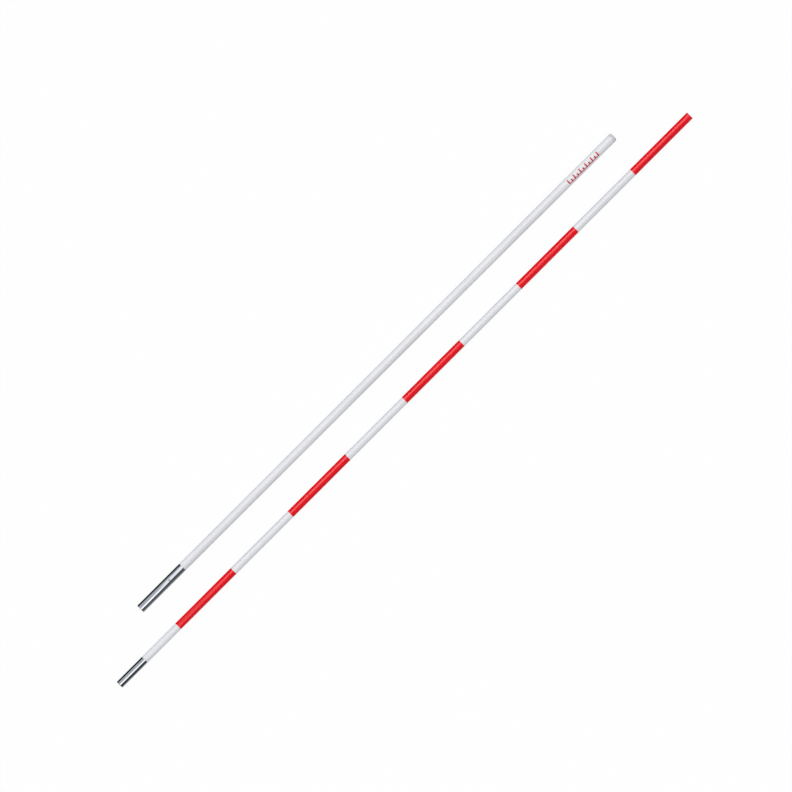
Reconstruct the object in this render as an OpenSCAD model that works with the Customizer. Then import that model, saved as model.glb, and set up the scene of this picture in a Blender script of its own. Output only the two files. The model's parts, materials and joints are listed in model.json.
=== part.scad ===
// Two-piece net antenna, taken apart and laid side by side on a flat floor.
// Both sections run along X, with their metal ferrules at the -X end.
// The white lower section lies at +Y and the striped upper section at -Y.
// The origin is on the floor, under the middle of the pair.

/* [Glass-fibre tube] */
// Outside diameter of the tube in both sections
rod_d = 10; // [8:0.1:16]
// Bore of the tube in both sections
rod_bore = 6; // [3:0.1:7]

/* [Striped upper section] */
// Length of the spigot ferrule
spigot_len = 44.4; // [20:0.2:80]
// Wall of the spigot ferrule
spigot_wall = 1; // [0.5:0.05:1.8]
// Bevel round the front edge of the spigot
spigot_bevel = 0.8; // [0.2:0.1:1.6]
// Length of the spigot dowel inside the tube
dowel_grip = 60; // [20:1:140]
// Bare white length between the ferrule and the first red band
foot_len = 58.6; // [5:0.2:150]
// Length of the first red band
first_band_len = 97; // [40:1:150]
// Length of each band after the first
band_len = 100; // [60:1:150]
// Thickness of the red film
film_t = 0.1; // [0.05:0.01:0.3]
// Thickness of the tip plug's flat head
tip_head = 1.2; // [0.6:0.1:5]
// Length of the tip plug's stem
tip_stem = 18; // [6:1:50]

/* [White lower section] */
// Overall length of the lower section
lower_len = 830; // [400:5:1400]
// Depth of the socket beyond the spigot ferrule's own length
socket_spare = 1.6; // [0:0.1:8]
// Wall of the socket ferrule round the socket
ferrule_wall = 0.6; // [0.3:0.05:1]
// Length of tube held in the back of the socket ferrule
ferrule_grip = 25.8; // [12:0.2:60]
// Depth that the tube's end is turned down by, to seat in the ferrule
seat_step = 0.25; // [0.2:0.05:0.8]
// Thickness of the stop's head, the floor of the socket
stop_head = 2; // [1:0.1:5]
// Length of the stop's stem
stop_stem = 14; // [8:1:60]
// Wall of the white cover
cover_wall = 0.7; // [0.5:0.05:1.5]
// Length of the end cap's head
cap_head = 4.5; // [3.5:0.1:12]
// Rounding of the end cap's edge
cap_round = 3; // [0.5:0.1:3.4]
// Length of the end cap's stem
cap_stem = 20; // [6:1:60]

/* [Spring pin in the socket ferrule] */
// Outside diameter of the pin
pin_d = 2; // [1:0.1:2.5]
// Wall of the rolled pin
pin_wall = 0.4; // [0.2:0.05:0.45]
// Width of the pin's slot
pin_slot = 0.4; // [0.2:0.05:0.8]
// Distance from the stop's head to the middle of the pin
pin_set = 2.9; // [2:0.1:6]
// Depth of the pin's ends below the ferrule's surface
pin_recess = 0.25; // [0.1:0.05:0.5]

/* [Fits] */
// Clearance between the spigot and the socket, on the diameter
socket_clear = 0.1; // [0.04:0.02:0.2]
// Clearance of the spring pin in its hole, on the diameter
pin_clear = 0.04; // [0.02:0.01:0.1]
// Bevel where two flush pieces meet end to end
seam_bevel = 0.3; // [0.26:0.02:0.4]

/* [How the two sections lie] */
// Distance between the axes of the two sections
row_gap = 48.3; // [20:0.1:200]

/* [Hidden] */
round_fn = 96;
arc_steps = 8;

// Radii
rod_r = rod_d / 2;
bore_r = rod_bore / 2;
band_r = rod_r + film_t;
socket_r = rod_r + socket_clear / 2;
ferrule_r = socket_r + ferrule_wall;
cover_r = rod_r + cover_wall;
seat_r = rod_r - seat_step;
dowel_r = rod_r - spigot_wall;

// Lengths along the upper section, from the spigot's tip
bands_after_first = 8;
first_band_at = spigot_len + foot_len;
second_gap_at = first_band_at + first_band_len;
upper_len = second_gap_at + bands_after_first * band_len;
tip_head_at = upper_len - tip_head;

// Lengths along the lower section, from the socket's mouth
socket_depth = spigot_len + socket_spare;
rod_at = socket_depth + stop_head;
ferrule_len = rod_at + ferrule_grip;
cap_at = lower_len - cap_head;
pin_at = rod_at + pin_set;

// Where the two sections lie. The lower one lies on its cover or its ferrule, whichever is wider.
lower_r = max(cover_r, ferrule_r);
upper_x = -upper_len / 2;
lower_x = -lower_len / 2;
lie_shift = (band_r - lower_r) / 2;
upper_y = lie_shift - row_gap / 2;
lower_y = lie_shift + row_gap / 2;
upper_z = band_r;
lower_z = lower_r;

// Puts a piece drawn along +Z onto the axis of the upper section
module on_upper(at) {
    translate([upper_x + at, upper_y, upper_z])
        rotate([0, 90, 0])
            children();
}

// Puts a piece drawn along +Z onto the axis of the lower section
module on_lower(at) {
    translate([lower_x + at, lower_y, lower_z])
        rotate([0, 90, 0])
            children();
}

// A turned piece from its outline, as [radius, length] points
module turned(outline) {
    rotate_extrude($fn = round_fn)
        polygon(outline);
}

// A tube with a bevel round its outer edge at each end
module bevelled_tube(outer_r, inner_r, len, first_bevel, last_bevel) {
    turned([
        [inner_r, 0],
        [outer_r - first_bevel, 0],
        [outer_r, first_bevel],
        [outer_r, len - last_bevel],
        [outer_r - last_bevel, len],
        [inner_r, len],
    ]);
}

// A plug's stem, with a lead-in bevel at its far end
module stem(len) {
    turned([
        [0, 0],
        [bore_r, 0],
        [bore_r, len - seam_bevel],
        [bore_r - seam_bevel, len],
        [0, len],
    ]);
}

// The hole that the spring pin is driven into, square to the lower section
module pin_hole() {
    translate([lower_x + pin_at, lower_y, 0])
        cylinder(d = pin_d + pin_clear, h = 2 * lower_z, $fn = round_fn);
}

module lower_rod() {
    color("gainsboro")
        difference() {
            on_lower(rod_at)
                turned([
                    [bore_r, 0],
                    [seat_r, 0],
                    [seat_r, ferrule_grip],
                    [rod_r, ferrule_grip],
                    [rod_r, cap_at - rod_at],
                    [bore_r, cap_at - rod_at],
                ]);
            pin_hole();
        }
}

module lower_cover() {
    color("whitesmoke")
        on_lower(ferrule_len)
            bevelled_tube(cover_r, rod_r, cap_at - ferrule_len, seam_bevel, seam_bevel);
}

module socket_ferrule() {
    color("silver")
        difference() {
            on_lower(0)
                turned([
                    [socket_r + ferrule_wall / 2, 0],
                    [ferrule_r, ferrule_wall / 2],
                    [ferrule_r, ferrule_len],
                    [seat_r, ferrule_len],
                    [seat_r, socket_depth],
                    [socket_r, socket_depth],
                    [socket_r, 0],
                ]);
            pin_hole();
        }
}

module socket_stop() {
    color("dimgray")
        difference() {
            union() {
                on_lower(socket_depth)
                    cylinder(r = seat_r, h = stop_head, $fn = round_fn);
                on_lower(rod_at)
                    stem(stop_stem);
            }
            pin_hole();
        }
}

module socket_pin() {
    pin_reach = ferrule_r - pin_recess;
    color("slategray")
        translate([lower_x + pin_at, lower_y, lower_z - pin_reach])
            linear_extrude(height = 2 * pin_reach)
                difference() {
                    circle(d = pin_d, $fn = round_fn);
                    circle(d = pin_d - 2 * pin_wall, $fn = round_fn);
                    translate([0, -pin_slot / 2])
                        square([pin_d, pin_slot]);
                }
}

module end_cap() {
    round_at = cap_head - cap_round;
    edge = [
        for (i = [0 : arc_steps])
            let (turn = 90 * i / arc_steps)
                [
                    cover_r - cap_round * (1 - cos(turn)),
                    round_at + cap_round * sin(turn),
                ]
    ];
    color("gainsboro") {
        on_lower(cap_at)
            turned(concat(
                [[0, 0], [cover_r - seam_bevel, 0], [cover_r, seam_bevel]],
                edge,
                [[0, cap_head]]
            ));
        on_lower(cap_at)
            mirror([0, 0, 1])
                stem(cap_stem);
    }
}

module upper_rod() {
    color("white")
        on_upper(spigot_len)
            bevelled_tube(rod_r, bore_r, tip_head_at - spigot_len, seam_bevel, 0);
}

module spigot_ferrule() {
    color("silver")
        on_upper(0)
            turned([
                [0, 0],
                [rod_r - spigot_bevel, 0],
                [rod_r, spigot_bevel],
                [rod_r, spigot_len - seam_bevel],
                [rod_r - seam_bevel, spigot_len],
                [dowel_r, spigot_len],
                [dowel_r, spigot_wall],
                [0, spigot_wall],
            ]);
}

module spigot_dowel() {
    color("tan") {
        on_upper(spigot_wall)
            cylinder(r = dowel_r, h = spigot_len - spigot_wall, $fn = round_fn);
        on_upper(spigot_len)
            stem(dowel_grip);
    }
}

// One red band, from its number, counted from the foot. The last one stops at the tip plug.
module red_band(number) {
    end = second_gap_at + 2 * (number - 1) * band_len;
    at = number == 1 ? first_band_at : end - band_len;
    color("crimson")
        on_upper(at)
            bevelled_tube(band_r, rod_r, min(end, tip_head_at) - at, 0, 0);
}

module tip_plug() {
    color("crimson") {
        on_upper(tip_head_at)
            bevelled_tube(band_r, 0, tip_head, 0, seam_bevel);
        on_upper(tip_head_at)
            mirror([0, 0, 1])
                stem(tip_stem);
    }
}

lower_rod();
lower_cover();
socket_ferrule();
socket_stop();
socket_pin();
end_cap();
upper_rod();
spigot_ferrule();
spigot_dowel();
red_band(1);  // red_band_1
red_band(2);  // red_band_2
red_band(3);  // red_band_3
red_band(4);  // red_band_4
red_band(5);  // red_band_5
tip_plug();
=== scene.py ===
import json
import math

import bmesh
import bpy
from mathutils import Matrix, Vector


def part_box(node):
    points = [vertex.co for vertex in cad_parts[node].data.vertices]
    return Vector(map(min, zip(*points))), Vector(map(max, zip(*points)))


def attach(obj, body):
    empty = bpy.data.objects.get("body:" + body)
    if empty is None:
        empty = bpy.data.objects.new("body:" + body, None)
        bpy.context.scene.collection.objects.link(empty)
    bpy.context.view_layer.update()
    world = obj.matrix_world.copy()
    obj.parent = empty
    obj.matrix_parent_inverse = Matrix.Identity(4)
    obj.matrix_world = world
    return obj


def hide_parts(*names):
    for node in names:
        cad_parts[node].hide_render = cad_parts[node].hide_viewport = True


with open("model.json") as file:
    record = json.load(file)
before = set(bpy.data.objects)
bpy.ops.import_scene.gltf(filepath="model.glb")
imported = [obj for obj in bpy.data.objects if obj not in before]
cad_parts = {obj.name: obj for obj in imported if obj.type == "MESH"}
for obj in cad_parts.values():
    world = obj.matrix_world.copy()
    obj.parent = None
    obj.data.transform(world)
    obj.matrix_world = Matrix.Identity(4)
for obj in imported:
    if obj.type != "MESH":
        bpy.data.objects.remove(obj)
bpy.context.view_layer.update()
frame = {"nodes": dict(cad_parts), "record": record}

# ---------------------------------------------------------------------------------------------
# Sizes. Lengths along the rods, radii and walls are in millimetres. The frame is in metres.
# ---------------------------------------------------------------------------------------------

MM = 0.001


def mount(name):
    """One of the record's mounts, by name."""
    return next(m for m in frame["record"]["mounts"] if m["name"] == name)


def axis_line(name):
    """The y and z of a mount's axis, in mm."""
    return tuple(round(value / MM, 3) for value in mount(name)["pos_m"][1:])


def ends(node):
    """The two ends of a CAD node along X, in mm."""
    low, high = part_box(node)
    return round(low.x / MM, 3), round(high.x / MM, 3)


LOWER_AXIS = axis_line("socket")
UPPER_AXIS = axis_line("spigot")

# Radii that the frame gives
rod_r = mount("spigot")["dims"]["r_mm"]
socket_r = mount("socket")["dims"]["r_mm"]
cover_r = mount("net_sleeve_seat")["dims"]["r_mm"]
band_r = UPPER_AXIS[1]

# Walls and steps of the single pieces, and the radii that follow from them
film_t = band_r - rod_r
ferrule_wall = 0.6
seat_step = 0.25
spigot_wall = 1.0
stop_head = 2.0
stem_bevel = 0.3
bore_r = 3.0
ferrule_r = socket_r + ferrule_wall
seat_r = rod_r - seat_step
dowel_r = rod_r - spigot_wall

# Roundings of the lips and edges
mouth_round = 0.18
cover_lip = 0.28
nose_round = 0.8
seam_round = 0.25
cap_round = 3.0

# Small marks that moulding and drawing leave in the flat end faces
gate_r = 0.6
gate_depth = 0.12
stop_gate_r = 0.7
stop_dish = 0.35
centre_mark_r = 0.5
centre_mark_depth = 0.15

# Spring pin through the socket ferrule, and its hole. The walls are drawn finely for hole_zone to
# either side of the hole's axis, and the drill reaches drill_spare past the ferrule.
pin_r = 1.0
pin_wall = 0.4
pin_slot = 0.4
pin_set = 2.9
pin_chamfer = 0.15
pin_hole_r = 1.02
hole_flare = 0.12
hole_zone = pin_hole_r + 4 * hole_flare
drill_spare = 1.0

# The red bands, and the lap of their film, in degrees from the top towards -Y
BANDS = 5
lap_from = 104
lap_to = 138
lap_ramp = 6

# Printed depth scale near the rounded end of the white section
scale_from_end = 30.0
scale_pitch = 10.0
scale_pitches = 5
tick_width = 1.8
long_tick = 6.6
short_tick = 4.2
scale_line = 1.2
scale_side = 4.2
ink_t = 0.03
ink_sunk = 0.01

# How finely the pieces are drawn: the steps round them, and the steps in mm along a wall
ROUND_SIDES = 96
LAP_STEPS = 12
ARC_STEPS = 6
PIN_STEPS = 40
BAR_POINTS = 14
STATION = 25.0
FINE_STATION = 5.0
HOLE_STATION = 0.3

# How far from a rounding an extra ring lies, so that its smooth shading stops there
HOLD = 0.1
SHARP_ANGLE = math.radians(35)

# The two ends of each piece along X
mouth, ferrule_back = ends("socket_ferrule")
cover_front, cap_at = ends("lower_cover")
stop_face, stop_tail = ends("socket_stop")
cap_tail, lower_end = ends("end_cap")
spigot_tip, spigot_back = ends("spigot_ferrule")
rod_front, plug_at = ends("upper_rod")
plug_tail, upper_end = ends("tip_plug")
pin_at = stop_face + stop_head + pin_set

# ---------------------------------------------------------------------------------------------
# Nodes and colours
# ---------------------------------------------------------------------------------------------


def add(tree, kind, inputs=None, **settings):
    """Adds a node with its settings. An input takes a value, or the output or node that feeds it.

    An input goes by its name, or by its number where several share a name. In a colour mix the
    colours are inputs 6 and 7 and output 2.
    """
    node = tree.nodes.new(kind)
    for name, value in settings.items():
        setattr(node, name, value)
    for key, value in (inputs or {}).items():
        if isinstance(value, bpy.types.Node):
            value = value.outputs[0]
        if isinstance(value, bpy.types.NodeSocket):
            tree.links.new(value, node.inputs[key])
        else:
            node.inputs[key].default_value = value
    return node


def linear(code):
    """The linear colour of an sRGB hex value."""
    parts = [int(code[i : i + 2], 16) / 255 for i in (1, 3, 5)]
    return [c / 12.92 if c <= 0.04045 else ((c + 0.055) / 1.055) ** 2.4 for c in parts] + [1.0]


def mottle(tree, across, along, low=0.3, high=0.7, detail=2.0):
    """Random tone from 0 to 1, in spots so many mm wide round the rods and long along them.

    low and high are the parts of the raw noise that become 0 and 1.
    """
    scale = (1 / (along * MM), 1 / (across * MM), 1 / (across * MM))
    here = add(tree, "ShaderNodeTexCoord").outputs["Object"]
    drawn = add(tree, "ShaderNodeMapping", {"Vector": here, "Scale": scale})
    noise = add(tree, "ShaderNodeTexNoise", {"Vector": drawn, "Scale": 1.0, "Detail": detail})
    return add(tree, "ShaderNodeMapRange", {"Value": noise.outputs["Fac"], "From Min": low, "From Max": high})


def surface(name, make):
    """A material from a function that adds its nodes and returns its shader."""
    material = bpy.data.materials.new(name)
    material.use_nodes = True
    tree = material.node_tree
    tree.nodes.clear()
    add(tree, "ShaderNodeOutputMaterial", {"Surface": make(tree)})
    return material


# ---------------------------------------------------------------------------------------------
# Materials. Real die lines, drawing lines and moulded grain are about 0.1 to 0.25 mm wide, which is
# too fine to show, so they are drawn about three times as wide.
# ---------------------------------------------------------------------------------------------


def extruded_vinyl(tree):
    """Extruded PVC: a satin white skin with die lines along it and a few light scuffs."""
    clouds = mottle(tree, 12, 70, low=0.35, high=0.65)
    die_lines = mottle(tree, 0.8, 90, detail=3)
    marks = mottle(tree, 0.4, 7, low=0.6, high=0.7, detail=3)
    worn = mottle(tree, 9, 45, low=0.5, high=0.7)
    scuffs = add(tree, "ShaderNodeMath", {0: marks, 1: worn}, operation="MULTIPLY")
    tone = add(
        tree,
        "ShaderNodeMix",
        {0: clouds, 6: linear("#E7E8EC"), 7: linear("#E0E2E6")},
        data_type="RGBA",
    )
    scuffed = add(
        tree,
        "ShaderNodeMix",
        {0: scuffs, 6: tone.outputs[2], 7: linear("#C9CCD0")},
        data_type="RGBA",
    )
    satin = add(tree, "ShaderNodeMath", {0: die_lines, 1: 0.08, 2: 0.3}, operation="MULTIPLY_ADD")
    rough = add(tree, "ShaderNodeMath", {0: scuffs, 1: 0.3, 2: satin}, operation="MULTIPLY_ADD")
    bump = add(tree, "ShaderNodeBump", {"Height": die_lines, "Strength": 0.5, "Distance": 0.01 * MM})
    return add(
        tree,
        "ShaderNodeBsdfPrincipled",
        {"Base Color": scuffed.outputs[2], "Roughness": rough, "Normal": bump, "IOR": 1.53},
    )


def gel_coated_fibre(tree):
    """Pultruded glass fibre under a white gel coat: glossier than vinyl, with the rovings just showing."""
    clouds = mottle(tree, 10, 60, low=0.35, high=0.65)
    rovings = mottle(tree, 0.7, 140, detail=3)
    marks = mottle(tree, 0.35, 6, low=0.62, high=0.74, detail=3)
    tone = add(
        tree,
        "ShaderNodeMix",
        {0: clouds, 6: linear("#E9EAED"), 7: linear("#E3E5E9")},
        data_type="RGBA",
    )
    streaks = add(tree, "ShaderNodeMath", {0: rovings, 1: 0.4}, operation="MULTIPLY")
    streaked = add(
        tree,
        "ShaderNodeMix",
        {0: streaks, 6: tone.outputs[2], 7: linear("#D8DBE1")},
        data_type="RGBA",
    )
    gloss = add(tree, "ShaderNodeMath", {0: rovings, 1: 0.08, 2: 0.2}, operation="MULTIPLY_ADD")
    rough = add(tree, "ShaderNodeMath", {0: marks, 1: 0.2, 2: gloss}, operation="MULTIPLY_ADD")
    bump = add(tree, "ShaderNodeBump", {"Height": rovings, "Strength": 0.5, "Distance": 0.01 * MM})
    return add(
        tree,
        "ShaderNodeBsdfPrincipled",
        {"Base Color": streaked.outputs[2], "Roughness": rough, "Normal": bump, "IOR": 1.55},
    )


def red_vinyl_film(tree):
    """Calendered self-adhesive vinyl: glossy red, with orange peel, rub marks and a few small blisters."""
    clouds = mottle(tree, 8, 40, low=0.35, high=0.65)
    peel = mottle(tree, 2.2, 3.2)
    marks = mottle(tree, 0.3, 6, low=0.62, high=0.74, detail=3)
    here = add(tree, "ShaderNodeTexCoord").outputs["Object"]
    cells = add(tree, "ShaderNodeTexVoronoi", {"Vector": here, "Scale": 1 / (9 * MM)})
    blisters = add(
        tree,
        "ShaderNodeMapRange",
        {"Value": cells, "From Min": 0.02, "From Max": 0.09, "To Min": 1.0, "To Max": 0.0},
    )
    tone = add(
        tree,
        "ShaderNodeMix",
        {0: clouds, 6: linear("#EE0C1E"), 7: linear("#E6081A")},
        data_type="RGBA",
    )
    faded = add(tree, "ShaderNodeMath", {0: marks, 1: 0.4}, operation="MULTIPLY")
    rubbed = add(
        tree,
        "ShaderNodeMix",
        {0: faded, 6: tone.outputs[2], 7: linear("#EC3A46")},
        data_type="RGBA",
    )
    gloss = add(tree, "ShaderNodeMath", {0: peel, 1: 0.04, 2: 0.07}, operation="MULTIPLY_ADD")
    rough = add(tree, "ShaderNodeMath", {0: marks, 1: 0.15, 2: gloss}, operation="MULTIPLY_ADD")
    height = add(tree, "ShaderNodeMath", {0: peel, 1: 0.4, 2: blisters}, operation="MULTIPLY_ADD")
    bump = add(tree, "ShaderNodeBump", {"Height": height, "Strength": 0.25, "Distance": 0.01 * MM})
    return add(
        tree,
        "ShaderNodeBsdfPrincipled",
        {"Base Color": rubbed.outputs[2], "Roughness": rough, "Normal": bump, "IOR": 1.53},
    )


def moulded_red_nylon(tree):
    """Injection-moulded nylon: a shade duller than the film beside it, with a fine grain."""
    clouds = mottle(tree, 3, 3, low=0.35, high=0.65)
    grain = mottle(tree, 0.35, 0.35, detail=3)
    tone = add(
        tree,
        "ShaderNodeMix",
        {0: clouds, 6: linear("#E2111F"), 7: linear("#D80D1B")},
        data_type="RGBA",
    )
    rough = add(tree, "ShaderNodeMath", {0: grain, 1: 0.12, 2: 0.32}, operation="MULTIPLY_ADD")
    bump = add(tree, "ShaderNodeBump", {"Height": grain, "Strength": 0.5, "Distance": 0.01 * MM})
    return add(
        tree,
        "ShaderNodeBsdfPrincipled",
        {"Base Color": tone.outputs[2], "Roughness": rough, "Normal": bump, "IOR": 1.53},
    )


def bright_chrome(tree):
    """Bright chrome plate on drawn brass: a clear mirror with drawing lines, rub marks and smudges."""
    drawn = mottle(tree, 0.3, 60, detail=3)
    rubs = mottle(tree, 0.2, 8, low=0.6, high=0.72, detail=3)
    smudges = mottle(tree, 4, 9, low=0.4, high=0.7)
    tone = add(
        tree,
        "ShaderNodeMix",
        {0: smudges, 6: linear("#C5C9D0"), 7: linear("#BDC2CA")},
        data_type="RGBA",
    )
    hazed = add(tree, "ShaderNodeMath", {0: smudges, 1: 0.04, 2: 0.05}, operation="MULTIPLY_ADD")
    rough = add(tree, "ShaderNodeMath", {0: rubs, 1: 0.06, 2: hazed}, operation="MULTIPLY_ADD")
    bump = add(tree, "ShaderNodeBump", {"Height": drawn, "Strength": 0.3, "Distance": 0.0015 * MM})
    return add(
        tree,
        "ShaderNodeBsdfPrincipled",
        {"Base Color": tone.outputs[2], "Roughness": rough, "Normal": bump, "Metallic": 1.0},
    )


def oiled_spring_steel(tree):
    """Hardened and oiled spring steel, left dark and a little blotched by its heat treatment."""
    bloom = mottle(tree, 0.6, 0.6, low=0.35, high=0.65)
    tone = add(
        tree,
        "ShaderNodeMix",
        {0: bloom, 6: linear("#5C5E63"), 7: linear("#3E3D40")},
        data_type="RGBA",
    )
    rough = add(tree, "ShaderNodeMath", {0: bloom, 1: 0.18, 2: 0.32}, operation="MULTIPLY_ADD")
    bump = add(tree, "ShaderNodeBump", {"Height": bloom, "Strength": 0.4, "Distance": 0.004 * MM})
    return add(
        tree,
        "ShaderNodeBsdfPrincipled",
        {"Base Color": tone.outputs[2], "Roughness": rough, "Normal": bump, "Metallic": 1.0},
    )


def moulded_black_nylon(tree):
    """Injection-moulded nylon with a spark-eroded grain: near black and matt."""
    clouds = mottle(tree, 2, 2)
    grain = mottle(tree, 0.3, 0.3, detail=3)
    tone = add(
        tree,
        "ShaderNodeMix",
        {0: clouds, 6: linear("#222225"), 7: linear("#18181B")},
        data_type="RGBA",
    )
    rough = add(tree, "ShaderNodeMath", {0: grain, 1: 0.16, 2: 0.42}, operation="MULTIPLY_ADD")
    bump = add(tree, "ShaderNodeBump", {"Height": grain, "Strength": 0.6, "Distance": 0.015 * MM})
    return add(
        tree,
        "ShaderNodeBsdfPrincipled",
        {"Base Color": tone.outputs[2], "Roughness": rough, "Normal": bump, "IOR": 1.53},
    )


def moulded_grey_polyethylene(tree):
    """Injection-moulded polyethylene: a soft, slightly waxy light grey with a fine grain."""
    clouds = mottle(tree, 3, 3, low=0.35, high=0.65)
    grain = mottle(tree, 0.35, 0.35, detail=3)
    tone = add(
        tree,
        "ShaderNodeMix",
        {0: clouds, 6: linear("#D6D6D7"), 7: linear("#CECFCF")},
        data_type="RGBA",
    )
    rough = add(tree, "ShaderNodeMath", {0: grain, 1: 0.1, 2: 0.4}, operation="MULTIPLY_ADD")
    bump = add(tree, "ShaderNodeBump", {"Height": grain, "Strength": 0.5, "Distance": 0.012 * MM})
    return add(
        tree,
        "ShaderNodeBsdfPrincipled",
        {
            "Base Color": tone.outputs[2],
            "Roughness": rough,
            "Normal": bump,
            "IOR": 1.51,
            "Subsurface Weight": 0.15,
            "Subsurface Radius": (1.0, 1.0, 1.0),
            "Subsurface Scale": 1.0 * MM,
        },
    )


def bare_pultruded_fibre(tree):
    """Bare pultruded glass fibre: straw-coloured resin, with the rovings showing along it."""
    rovings = mottle(tree, 0.35, 60, detail=3)
    tone = add(
        tree,
        "ShaderNodeMix",
        {0: rovings, 6: linear("#D6D0B6"), 7: linear("#B9B294")},
        data_type="RGBA",
    )
    rough = add(tree, "ShaderNodeMath", {0: rovings, 1: 0.15, 2: 0.4}, operation="MULTIPLY_ADD")
    bump = add(tree, "ShaderNodeBump", {"Height": rovings, "Strength": 0.7, "Distance": 0.03 * MM})
    return add(
        tree,
        "ShaderNodeBsdfPrincipled",
        {"Base Color": tone.outputs[2], "Roughness": rough, "Normal": bump, "IOR": 1.55},
    )


def screen_printed_ink(tree):
    """Screen-printed red ink: flat and slightly matt, with thin spots where it is rubbed."""
    thin = mottle(tree, 0.5, 0.8, low=0.56, high=0.8, detail=3)
    tone = add(
        tree,
        "ShaderNodeMix",
        {0: thin, 6: linear("#C4142F"), 7: linear("#DD7F8B")},
        data_type="RGBA",
    )
    rough = add(tree, "ShaderNodeMath", {0: thin, 1: 0.15, 2: 0.42}, operation="MULTIPLY_ADD")
    return add(
        tree,
        "ShaderNodeBsdfPrincipled",
        {"Base Color": tone.outputs[2], "Roughness": rough, "IOR": 1.5},
    )


VINYL = surface("extruded white PVC", extruded_vinyl)
GEL_COAT = surface("gel-coated glass fibre", gel_coated_fibre)
FILM = surface("calendered red vinyl film", red_vinyl_film)
RED_NYLON = surface("moulded red nylon", moulded_red_nylon)
CHROME = surface("bright chrome plate", bright_chrome)
SPRING_STEEL = surface("oiled spring steel", oiled_spring_steel)
BLACK_NYLON = surface("moulded black nylon", moulded_black_nylon)
POLYETHYLENE = surface("moulded grey polyethylene", moulded_grey_polyethylene)
FIBRE = surface("bare pultruded glass fibre", bare_pultruded_fibre)
INK = surface("screen-printed red ink", screen_printed_ink)

# ---------------------------------------------------------------------------------------------
# Outlines and meshes
# ---------------------------------------------------------------------------------------------


def arc(centre, radius, first, last, steps=ARC_STEPS):
    """Points (x, r) round an arc of an outline, from one angle to another, in degrees from +X."""
    turns = [math.radians(first + (last - first) * i / steps) for i in range(steps + 1)]
    return [(centre[0] + radius * math.cos(a), centre[1] + radius * math.sin(a)) for a in turns]


def wall(first, last, radius, step=STATION):
    """Points (x, r) along a straight wall, without its ends. The outer two lie HOLD from the ends."""
    count = max(1, round(abs(last - first) / step))
    hold = math.copysign(HOLD, last - first)
    stations = [first + (last - first) * i / count for i in range(1, count)]
    return [(x, radius) for x in (first + hold, *stations, last - hold)]


def smooth(mesh):
    """Shades a mesh smooth, apart from its real edges."""
    mesh.shade_smooth()
    mesh.set_sharp_from_angle(angle=SHARP_ANGLE)


def new_piece(name, shape):
    """Makes a closed shape an object at the origin."""
    bmesh.ops.recalc_face_normals(shape, faces=shape.faces)
    mesh = bpy.data.meshes.new(name)
    shape.to_mesh(mesh)
    shape.free()
    smooth(mesh)
    piece = bpy.data.objects.new(name, mesh)
    bpy.context.scene.collection.objects.link(piece)
    return piece


def join_rings(shape, rings):
    """Adds the faces between each ring and the next, the last and the first too. A pole is a ring of one."""
    for first, second in zip(rings, rings[1:] + rings[:1]):
        count = max(len(first), len(second))
        if count == 1:
            continue
        for i in range(count):
            after = (i + 1) % count
            corners = [first[i % len(first)], first[after % len(first)]]
            corners += [second[after % len(second)], second[i % len(second)]]
            shape.faces.new(dict.fromkeys(corners))


def turned(name, outline, origin, upright=False):
    """A piece turned from an outline of (distance, radius) points, lying along X or standing along Z."""
    shape = bmesh.new()
    rings = []
    for distance, radius in outline:
        ring = []
        for side in range(ROUND_SIDES if radius > 0 else 1):
            turn = 2 * math.pi * side / ROUND_SIDES
            across = (-radius * math.sin(turn), radius * math.cos(turn))
            spot = (*across, distance) if upright else (distance, *across)
            ring.append(shape.verts.new((Vector(origin) + Vector(spot)) * MM))
        rings.append(ring)
    join_rings(shape, rings)
    return new_piece(name, shape)


def make_plain(piece):
    """Turns what a piece's modifiers make into its own mesh, and removes them."""
    depsgraph = bpy.context.evaluated_depsgraph_get()
    mesh = bpy.data.meshes.new_from_object(piece.evaluated_get(depsgraph))
    piece.modifiers.clear()
    piece.data = mesh


def drill(piece, flare):
    """Cuts the spring pin's upright hole through a piece of the white section."""
    reach = ferrule_r + drill_spare
    upper = [
        (reach, 0),
        (reach, pin_hole_r + flare),
        (ferrule_r, pin_hole_r + flare),
        (ferrule_r - hole_flare, pin_hole_r),
    ]
    outline = upper + [(-height, radius) for height, radius in reversed(upper)]
    bit = turned("drill_bit", outline, (pin_at, *LOWER_AXIS), upright=True)
    cut = piece.modifiers.new("pin hole", "BOOLEAN")
    cut.operation = "DIFFERENCE"
    cut.solver = "EXACT"
    cut.object = bit
    make_plain(piece)
    smooth(piece.data)
    bpy.data.objects.remove(bit)


# ---------------------------------------------------------------------------------------------
# The white lower section
# ---------------------------------------------------------------------------------------------


def white_cover():
    """A white tube with softened lips, drawn over the rod."""
    length = cap_at - cover_front
    outline = [
        (0, rod_r),
        *arc((cover_lip, cover_r - cover_lip), cover_lip, 180, 90),
        *wall(cover_lip, length - cover_lip, cover_r),
        *arc((length - cover_lip, cover_r - cover_lip), cover_lip, 90, 0),
        (length, rod_r),
        *wall(length, 0, rod_r),
    ]
    return turned("white_cover", outline, (cover_front, *LOWER_AXIS))


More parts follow.
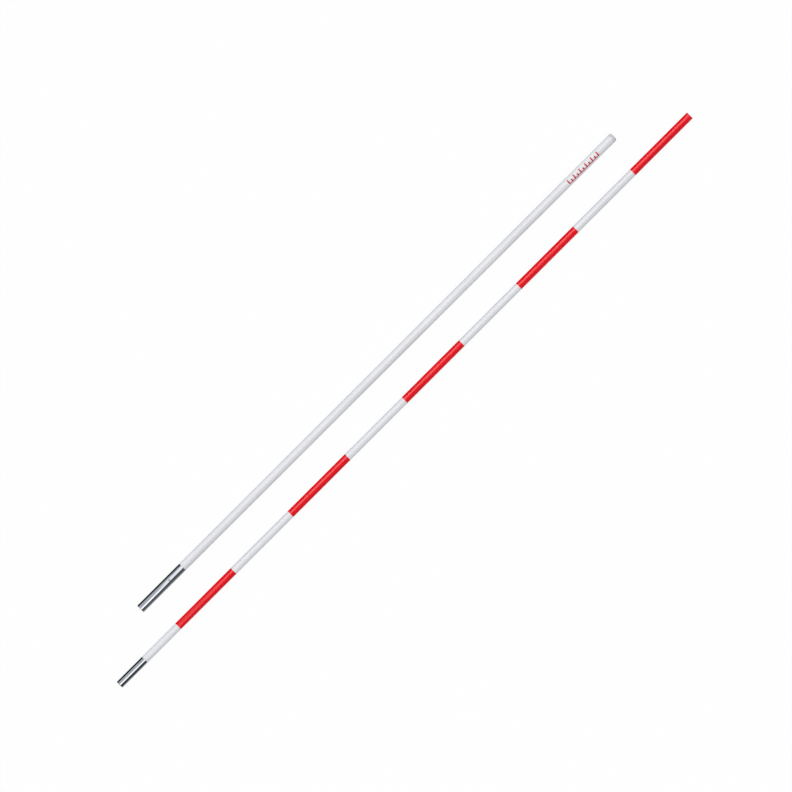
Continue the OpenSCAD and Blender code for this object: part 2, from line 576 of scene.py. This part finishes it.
def socket_tube():
    """A drawn tube with a rolled lip at its mouth, a step inside and a cross hole for the pin."""
    length = ferrule_back - mouth
    seat = stop_face - mouth
    near = pin_at - mouth - hole_zone
    far = pin_at - mouth + hole_zone
    outline = [
        *arc((mouth_round, socket_r + mouth_round), mouth_round, 270, 180),
        *arc((mouth_round, ferrule_r - mouth_round), mouth_round, 180, 90),
        *wall(mouth_round, near, ferrule_r, FINE_STATION),
        (near, ferrule_r),
        *wall(near, far, ferrule_r, HOLE_STATION),
        (far, ferrule_r),
        *wall(far, length - seam_round, ferrule_r, FINE_STATION),
        *arc((length - seam_round, ferrule_r - seam_round), seam_round, 90, 0),
        (length, seat_r),
        *wall(length, far, seat_r, FINE_STATION),
        (far, seat_r),
        *wall(far, near, seat_r, HOLE_STATION),
        (near, seat_r),
        (seat, seat_r),
        (seat, socket_r),
        *wall(seat, mouth_round, socket_r, FINE_STATION),
    ]
    tube = turned("socket_tube", outline, (mouth, *LOWER_AXIS))
    drill(tube, hole_flare)
    return tube


def rod_stop():
    """A moulded plug with a shallow dish and a gate mark, seen down the socket."""
    length = stop_tail - stop_face
    outline = [
        (stop_dish / 2, 0),
        (stop_dish / 2, stop_gate_r),
        (stop_dish, stop_gate_r + stop_dish / 2),
        (stop_dish, seat_r - 3 * stop_dish),
        (0, seat_r - 2 * stop_dish),
        *arc((seam_round, seat_r - seam_round), seam_round, 180, 90),
        (stop_head, seat_r),
        (stop_head, bore_r),
        *wall(stop_head, length - stem_bevel, bore_r, FINE_STATION),
        (length - stem_bevel, bore_r),
        (length, bore_r - stem_bevel),
        (length, 0),
    ]
    stop = turned("rod_stop", outline, (stop_face, *LOWER_AXIS))
    drill(stop, 0)
    return stop


def spring_pin():
    """A rolled strip of spring steel, with a slot along it and a chamfer round each end."""
    low, high = (corner.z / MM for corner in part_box("socket_pin"))
    slot_turn = math.asin(pin_slot / 2 / pin_r)
    levels = [
        (low, pin_r - pin_chamfer),
        (low + 2 * pin_chamfer, pin_r),
        (high - 2 * pin_chamfer, pin_r),
        (high, pin_r - pin_chamfer),
    ]
    strip = levels + [(level, pin_r - pin_wall) for level, radius in reversed(levels)]
    shape = bmesh.new()
    strips = []
    for step in range(PIN_STEPS + 1):
        turn = slot_turn + (2 * math.pi - 2 * slot_turn) * step / PIN_STEPS
        spots = [
            (pin_at + radius * math.cos(turn), LOWER_AXIS[0] + radius * math.sin(turn), level)
            for level, radius in strip
        ]
        strips.append([shape.verts.new(Vector(spot) * MM) for spot in spots])
    for first, second in zip(strips, strips[1:]):
        for i in range(len(strip)):
            after = (i + 1) % len(strip)
            shape.faces.new((first[i], first[after], second[after], second[i]))
    for edge in (strips[0], strips[-1]):
        for i in range(len(levels) - 1):
            shape.faces.new((edge[i], edge[i + 1], edge[-2 - i], edge[-1 - i]))
    return new_piece("spring_pin", shape)


def rounded_cap():
    """A moulded cap with a full rounding, a gate mark in its flat face and a stem in the rod."""
    head = lower_end - cap_at
    stem = cap_tail - cap_at
    outline = [
        (stem, 0),
        (stem, bore_r - stem_bevel),
        (stem + stem_bevel, bore_r),
        *wall(stem + stem_bevel, 0, bore_r, FINE_STATION),
        (0, bore_r),
        *arc((seam_round, cover_r - seam_round), seam_round, 180, 90),
        *wall(seam_round, head - cap_round, cover_r),
        *arc((head - cap_round, cover_r - cap_round), cap_round, 90, 0, 3 * ARC_STEPS),
        (head, cover_r - cap_round - HOLD),
        (head, gate_r + gate_depth),
        (head - gate_depth, gate_r),
        (head - gate_depth, 0),
    ]
    return turned("rounded_cap", outline, (cap_at, *LOWER_AXIS))


def scale_tree():
    """Ticks of two lengths along a base line, printed round the side of a tube that lies along X."""
    tree = bpy.data.node_groups.new("printed scale", "GeometryNodeTree")
    for name in ("Pitch", "Long Tick", "Short Tick", "Tick Width", "Line Width", "Ink", "Radius", "Side"):
        tree.interface.new_socket(name, in_out="INPUT", socket_type="NodeSocketFloat")
    tree.interface.new_socket("Pitches", in_out="INPUT", socket_type="NodeSocketInt")
    tree.interface.new_socket("Geometry", in_out="OUTPUT", socket_type="NodeSocketGeometry")
    given = add(tree, "NodeGroupInput").outputs

    def bar(length, width):
        """A thin bar that starts at the base line and follows the tube round."""
        size = add(tree, "ShaderNodeCombineXYZ", {"X": length, "Y": width, "Z": given["Ink"]})
        flat = add(
            tree,
            "GeometryNodeMeshCube",
            {"Size": size, "Vertices X": 2, "Vertices Y": BAR_POINTS, "Vertices Z": 2},
        )
        position = add(tree, "GeometryNodeInputPosition")
        here = add(tree, "ShaderNodeSeparateXYZ", {"Vector": position}).outputs
        reach = add(tree, "ShaderNodeMath", {0: width, 1: 0.5, 2: here["Y"]}, operation="MULTIPLY_ADD")
        back = add(tree, "ShaderNodeMath", {0: given["Side"], 1: reach}, operation="SUBTRACT")
        turn = add(tree, "ShaderNodeMath", {0: back, 1: given["Radius"]}, operation="DIVIDE")
        out = add(tree, "ShaderNodeMath", {0: given["Radius"], 1: here["Z"]}, operation="ADD")
        spot = add(tree, "ShaderNodeCombineXYZ", {"Z": out})
        bent = add(
            tree,
            "ShaderNodeVectorRotate",
            {"Vector": spot, "Angle": turn},
            rotation_type="X_AXIS",
        )
        along = add(tree, "ShaderNodeCombineXYZ", {"X": here["X"]})
        place = add(tree, "ShaderNodeVectorMath", {0: bent, 1: along}, operation="ADD")
        return add(tree, "GeometryNodeSetPosition", {"Geometry": flat, "Position": place})

    def row(piece, count, start):
        """The same bar at each pitch, from a start along the tube."""
        first = add(tree, "ShaderNodeCombineXYZ", {"X": start})
        pitch = add(tree, "ShaderNodeCombineXYZ", {"X": given["Pitch"]})
        line = add(tree, "GeometryNodeMeshLine", {"Count": count, "Start Location": first, "Offset": pitch})
        return add(tree, "GeometryNodeInstanceOnPoints", {"Points": line, "Instance": piece})

    length = add(tree, "ShaderNodeMath", {0: given["Pitch"], 1: given["Pitches"]}, operation="MULTIPLY")
    middle = add(tree, "ShaderNodeMath", {0: length, 1: 0.5}, operation="MULTIPLY")
    half = add(tree, "ShaderNodeMath", {0: given["Pitch"], 1: 0.5}, operation="MULTIPLY")
    base_len = add(tree, "ShaderNodeMath", {0: length, 1: given["Tick Width"]}, operation="ADD")
    marks = add(tree, "ShaderNodeMath", {0: given["Pitches"], 1: 1.0}, operation="ADD")
    rows = (
        row(bar(base_len, given["Line Width"]), 1, middle),
        row(bar(given["Tick Width"], given["Long Tick"]), marks, 0.0),
        row(bar(given["Tick Width"], given["Short Tick"]), given["Pitches"], half),
    )
    printed = add(tree, "GeometryNodeJoinGeometry")
    for piece in rows:
        tree.links.new(piece.outputs[0], printed.inputs[0])
    real = add(tree, "GeometryNodeRealizeInstances", {"Geometry": printed})
    inked = add(tree, "GeometryNodeSetMaterial", {"Geometry": real, "Material": INK})
    add(tree, "NodeGroupOutput", {"Geometry": inked})
    return tree


def depth_scale():
    """A plain printed scale that shows how far the section is pushed into the net's sleeve."""
    sizes = {
        "Pitch": scale_pitch * MM,
        "Long Tick": long_tick * MM,
        "Short Tick": short_tick * MM,
        "Tick Width": tick_width * MM,
        "Line Width": scale_line * MM,
        "Ink": ink_t * MM,
        "Radius": (cover_r + ink_t / 2 - ink_sunk) * MM,
        "Side": scale_side * MM,
        "Pitches": scale_pitches,
    }
    piece = bpy.data.objects.new("depth_scale", bpy.data.meshes.new("depth_scale"))
    bpy.context.scene.collection.objects.link(piece)
    printing = piece.modifiers.new("printed scale", "NODES")
    printing.node_group = scale_tree()
    for socket in printing.node_group.interface.items_tree:
        if socket.name in sizes:
            printing[socket.identifier] = sizes[socket.name]
    make_plain(piece)
    start = lower_end - scale_from_end - scale_pitch * scale_pitches
    piece.data.transform(Matrix.Translation(Vector((start, *LOWER_AXIS)) * MM))
    smooth(piece.data)
    return piece


# ---------------------------------------------------------------------------------------------
# The striped upper section
# ---------------------------------------------------------------------------------------------


def striped_rod():
    """The white tube that carries the red bands, with a softened edge at the ferrule."""
    length = plug_at - rod_front
    outline = [
        (0, bore_r),
        *arc((seam_round, rod_r - seam_round), seam_round, 180, 90),
        *wall(seam_round, length, rod_r),
        (length, rod_r),
        (length, bore_r),
        *wall(length, 0, bore_r),
    ]
    return turned("striped_rod", outline, (rod_front, *UPPER_AXIS))


def spigot_sleeve():
    """A deep-drawn cap with a rounded nose and a small centre mark, closed at the tip."""
    length = spigot_back - spigot_tip
    outline = [
        (centre_mark_depth, 0),
        (0, centre_mark_r),
        (0, centre_mark_r + HOLD),
        (0, rod_r - nose_round - HOLD),
        *arc((nose_round, rod_r - nose_round), nose_round, 180, 90, 2 * ARC_STEPS),
        *wall(nose_round, length - seam_round, rod_r, FINE_STATION),
        *arc((length - seam_round, rod_r - seam_round), seam_round, 90, 0),
        (length, dowel_r),
        *wall(length, spigot_wall, dowel_r, FINE_STATION),
        (spigot_wall, dowel_r),
        (spigot_wall, 0),
    ]
    return turned("spigot_sleeve", outline, (spigot_tip, *UPPER_AXIS))


def red_band(number):
    """A band of film wrapped once round the rod, with its free edge lapped low on the -Y side."""
    start, end = ends(f"red_band_{number}")
    lap = (lap_to - lap_from) / LAP_STEPS
    rest = (360 + lap_from - lap_ramp - lap_to) / ROUND_SIDES
    turns = [(lap_from + lap * i, band_r + film_t) for i in range(LAP_STEPS + 1)]
    turns += [(lap_to + rest * i, band_r) for i in range(ROUND_SIDES + 1)]
    shape = bmesh.new()
    rings = []
    # An outer ring has no one radius, because the film is twice as thick over the lap
    outer = [(start, None), *wall(start, end, None), (end, None)]
    inner = [(end, rod_r), *wall(end, start, rod_r), (start, rod_r)]
    for x, inner_r in outer + inner:
        ring = []
        for angle, outer_r in turns:
            turn = math.radians(angle)
            radius = inner_r or outer_r
            spot = (x, UPPER_AXIS[0] - radius * math.sin(turn), UPPER_AXIS[1] + radius * math.cos(turn))
            ring.append(shape.verts.new(Vector(spot) * MM))
        rings.append(ring)
    join_rings(shape, rings)
    return new_piece(f"red_band_{number}_film", shape)


def red_tip():
    """A moulded plug with a flat head, a gate mark and a stem in the tube."""
    head = upper_end - plug_at
    stem = plug_tail - plug_at
    outline = [
        (stem, 0),
        (stem, bore_r - stem_bevel),
        (stem + stem_bevel, bore_r),
        *wall(stem + stem_bevel, 0, bore_r, FINE_STATION),
        (0, bore_r),
        (0, band_r),
        *wall(0, head - seam_round, band_r),
        *arc((head - seam_round, band_r - seam_round), seam_round, 90, 0),
        (head, band_r - seam_round - HOLD),
        (head, gate_r + gate_depth),
        (head - gate_depth, gate_r),
        (head - gate_depth, 0),
    ]
    return turned("red_tip", outline, (plug_at, *UPPER_AXIS))


# ---------------------------------------------------------------------------------------------
# Each piece with its material, its body, its slot in the record and the CAD nodes it stands for
# ---------------------------------------------------------------------------------------------


def dress(piece, body, slot, material, *nodes):
    """Finishes a piece and ties it to the frame."""
    piece.data.materials.clear()
    piece.data.materials.append(material)
    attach(piece, body)
    if nodes:
        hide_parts(*nodes)


dress(white_cover(), "lower_section", "white_cover", VINYL, "lower_cover")
dress(socket_tube(), "lower_section", "chrome", CHROME, "socket_ferrule")
dress(rod_stop(), "lower_section", "stop_plastic", BLACK_NYLON, "socket_stop")
dress(spring_pin(), "lower_section", "pin_steel", SPRING_STEEL, "socket_pin")
dress(rounded_cap(), "lower_section", "cap_plastic", POLYETHYLENE, "end_cap")
dress(depth_scale(), "lower_section", "red_film", INK)
dress(striped_rod(), "upper_section", "white_fibre", GEL_COAT, "upper_rod")
dress(spigot_sleeve(), "upper_section", "chrome", CHROME, "spigot_ferrule")
for number in range(1, BANDS + 1):
    dress(red_band(number), "upper_section", "red_film", FILM, f"red_band_{number}")
dress(red_tip(), "upper_section", "red_plastic", RED_NYLON, "tip_plug")

# The rod inside the cover and the dowel inside the spigot stay as the CAD made them
for node in ("lower_rod", "spigot_dowel"):
    hidden = frame["nodes"][node]
    hidden.data.materials.clear()
    hidden.data.materials.append(FIBRE)

# ---------------------------------------------------------------------------------------------
# Floor, light and camera. Lengths are in metres unless stated. Levels are radiances, where 1 is white.
# ---------------------------------------------------------------------------------------------

# The paper: its half width, its two tones, the level that it is lit to, and how much of what the
# camera and mirrors see of it is a white glow
FLOOR_HALF = 20.0
FLOOR_TONES = ("#CFD0D2", "#CCCDD0")
floor_level = 0.7
camera_share = 0.93
mirror_share = 0.35

# The studio's walls and ceiling: their level, and the level that mirrors see. Three sides are dimmer.
# Each has its share of the level, and a fade: the span over which a direction's part along Y or X, from
# -1 to 1, brings the share in.
SKY_LEVEL = 1.56
MIRROR_SKY = 0.4
NEAR_SHARE = 0.33
NEAR_FADE = (-0.8, -0.3)
FAR_SHARE = 0.75
FAR_FADE = (0.5, 0.95)
END_SHARE = 0.5
END_FADE = (0.3, 0.8)

# Softboxes overhead, seen by mirrors only: their spans along x and y, and their level
SOFTBOX_HEIGHT = 1.2
MAIN_BOX = ((-0.37, 1.3), (0.03, 1.45), 2.5)
SOCKET_BOX = ((-0.42, -0.37), (-0.55, 1.1), 1.45)
PALE_BOX = ((-0.64, -0.42), (0.0, 3.0), 0.7)
MOUTH_STREAK = ((-0.48, -0.42), (-0.78, 0.0), 1.9)
SPIGOT_STREAK = ((-0.64, -0.48), (-0.56, 0.0), 2.2)

# Low cards along both sides of each rod, seen by mirrors only, and a taller dark card behind the grey
# one beside the spigot. First their levels, and then their heights and distances in mm.
BLACK_CARD = 0.03
GREY_CARD = 0.3
tall_card = 10.0
low_card = 8.2
dark_card = 11.5
card_gap = 6.5
card_margin = 5.0
behind = 0.5

# The camera: its lens and sensor in mm, the width that it sees on the floor in metres, and its turn
# in degrees
camera_lens = 400.0
camera_sensor = 36.0
view_width = 0.9828
camera_turn = -44.955
view_centre = Vector((-0.00398, -0.01323, 0.0055))


def paper(tree):
    """Pale paper. The camera and mirrors see it partly lit from below: white, with a trace of shadow."""
    clumps = mottle(tree, 1.5, 1.5, detail=3)
    tone = add(
        tree,
        "ShaderNodeMix",
        {0: clumps, 6: linear(FLOOR_TONES[0]), 7: linear(FLOOR_TONES[1])},
        data_type="RGBA",
    )
    sheet = add(tree, "ShaderNodeBsdfDiffuse", {"Color": tone.outputs[2]})
    # The glow's level, which makes white once it is mixed with the lit sheet
    white = (1 - (1 - camera_share) * floor_level) / camera_share
    glow = add(tree, "ShaderNodeEmission", {"Color": (1, 1, 1, 1), "Strength": white})
    ray = add(tree, "ShaderNodeLightPath").outputs
    clear = add(
        tree,
        "ShaderNodeMath",
        {0: ray["Is Camera Ray"], 1: ray["Is Transmission Ray"]},
        operation="ADD",
    )
    seen = add(tree, "ShaderNodeMath", {0: clear, 1: camera_share}, operation="MULTIPLY")
    mirrored = add(
        tree,
        "ShaderNodeMath",
        {0: ray["Is Glossy Ray"], 1: mirror_share, 2: seen},
        operation="MULTIPLY_ADD",
        use_clamp=True,
    )
    return add(tree, "ShaderNodeMixShader", {0: mirrored, 1: sheet, 2: glow})


def make_floor():
    """A wide, level sheet that both rods lie on."""
    shape = bmesh.new()
    bmesh.ops.create_grid(shape, x_segments=1, y_segments=1, size=FLOOR_HALF)
    floor = new_piece("floor", shape)
    floor.data.materials.append(surface("pale paper", paper))


def mirror_card(name, corners, level):
    """A glowing card that only mirrors see, so it draws a streak or an edge and gives no light."""
    shape = bmesh.new()
    shape.faces.new([shape.verts.new(corner) for corner in corners])
    card = new_piece(name, shape)
    glow = surface(name, lambda tree: add(tree, "ShaderNodeEmission", {"Strength": level}))
    # No ray is aimed at the card to gather its light
    glow.cycles.emission_sampling = "NONE"
    card.data.materials.append(glow)
    card.visible_camera = False
    card.visible_diffuse = False
    card.visible_transmission = False
    card.visible_shadow = False


def softbox(name, x_span, y_span, level):
    """A card overhead that lies flat."""
    spots = [(x_span[0], y_span[0]), (x_span[1], y_span[0]), (x_span[1], y_span[1]), (x_span[0], y_span[1])]
    mirror_card(name, [(*spot, SOFTBOX_HEIGHT) for spot in spots], level)


def side_card(name, x_span, y, height, level):
    """A low card that stands on the floor beside a rod. Sizes are in mm."""
    spots = [(x_span[0], 0), (x_span[1], 0), (x_span[1], height), (x_span[0], height)]
    mirror_card(name, [Vector((x, y, z)) * MM for x, z in spots], level)


def make_sky():
    """Soft light from all round, dimmer towards -Y, +Y and +X. Mirrors see the same walls in grey."""
    world = bpy.data.worlds.new("studio")
    world.use_nodes = True
    # Only rays that happen to reach the sky bring its light, which keeps speckle out of the picture
    world.cycles.sampling_method = "NONE"
    tree = world.node_tree
    tree.nodes.clear()
    direction = add(tree, "ShaderNodeTexCoord").outputs["Generated"]
    way = add(tree, "ShaderNodeSeparateXYZ", {"Vector": direction}).outputs
    shares = []
    for part, fade, first, last in (
        (way["Y"], NEAR_FADE, NEAR_SHARE, 1.0),
        (way["Y"], FAR_FADE, 1.0, FAR_SHARE),
        (way["X"], END_FADE, 1.0, END_SHARE),
    ):
        spans = {"From Min": fade[0], "From Max": fade[1], "To Min": first, "To Max": last}
        shares.append(add(tree, "ShaderNodeMapRange", {"Value": part, **spans}))
    sides = add(tree, "ShaderNodeMath", {0: shares[0], 1: shares[1]}, operation="MULTIPLY")
    share = add(tree, "ShaderNodeMath", {0: sides, 1: shares[2]}, operation="MULTIPLY")
    ray = add(tree, "ShaderNodeLightPath").outputs
    seen = add(
        tree,
        "ShaderNodeMix",
        {0: ray["Is Glossy Ray"], 2: SKY_LEVEL, 3: MIRROR_SKY},
        data_type="FLOAT",
    )
    level = add(tree, "ShaderNodeMath", {0: share, 1: seen.outputs[0]}, operation="MULTIPLY")
    sky = add(tree, "ShaderNodeBackground", {"Strength": level})
    add(tree, "ShaderNodeOutputWorld", {"Surface": sky})
    bpy.context.scene.world = world


def make_camera():
    """Straight overhead, turned so that the rods run from lower left to upper right."""
    lens = bpy.data.cameras.new("camera")
    lens.lens = camera_lens
    lens.sensor_width = camera_sensor
    camera = bpy.data.objects.new("camera", lens)
    camera.location = view_centre + Vector((0, 0, view_width * camera_lens / camera_sensor))
    camera.rotation_euler = (0, 0, math.radians(camera_turn))
    bpy.context.scene.collection.objects.link(camera)
    bpy.context.scene.camera = camera


make_floor()
softbox("main_box", *MAIN_BOX)
softbox("socket_box", *SOCKET_BOX)
softbox("pale_box", *PALE_BOX)
softbox("mouth_streak", *MOUTH_STREAK)
softbox("spigot_streak", *SPIGOT_STREAK)
for name, span, axis, height in (
    ("upper", (spigot_tip - card_margin, upper_end + card_margin), UPPER_AXIS, low_card),
    ("lower", (mouth - card_margin, lower_end + card_margin), LOWER_AXIS, tall_card),
):
    side_card(f"{name}_black_card", span, axis[0] + card_gap, tall_card, BLACK_CARD)
    side_card(f"{name}_grey_card", span, axis[0] - card_gap, height, GREY_CARD)
spigot_span = (spigot_tip - card_margin, spigot_back)
side_card("spigot_dark_card", spigot_span, UPPER_AXIS[0] - card_gap - behind, dark_card, BLACK_CARD)
make_sky()
make_camera()
bpy.context.scene.view_settings.view_transform = "Standard"
